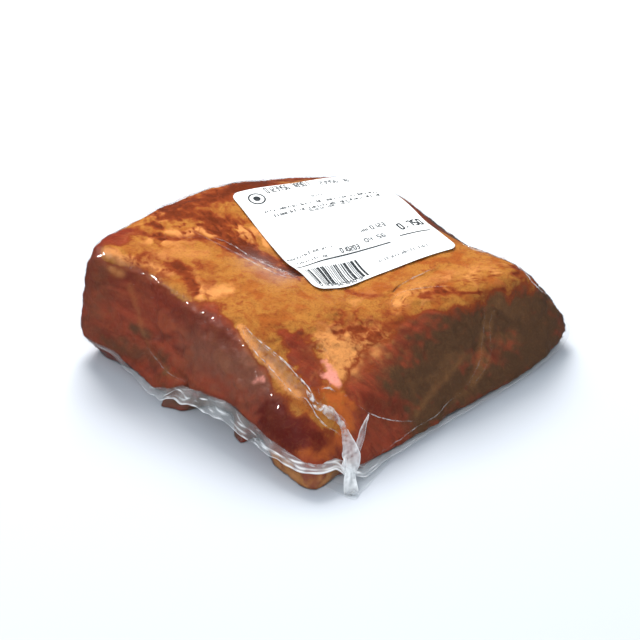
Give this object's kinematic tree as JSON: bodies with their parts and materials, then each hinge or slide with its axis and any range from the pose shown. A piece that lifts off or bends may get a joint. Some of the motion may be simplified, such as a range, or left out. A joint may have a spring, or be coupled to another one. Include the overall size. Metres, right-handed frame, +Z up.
{
  "type": "smoked pork shoulder",
  "caption": "Chunk of smoked pork shoulder sealed in clear film, with a flat film margin, a twisted corner ear and a paper label on top.",
  "frame": {"origin": "middle of the pack's footprint on the surface it rests on, film margin included", "axes": "+Z up, +X along the right-hand cut face towards the low end, +Y along the left-hand cut face towards the back"},
  "size_m": [0.161, 0.1526, 0.0515],
  "materials": {
    "vacuum_pack": "clear film drawn tight over smoked pork, brown lean and golden fat",
    "label": "white coated paper with a satin sheen"
  },
  "bodies": {
    "root": {"vacuum_pack": "vacuum_pack", "label": "label"}
  },
  "joints": []
}
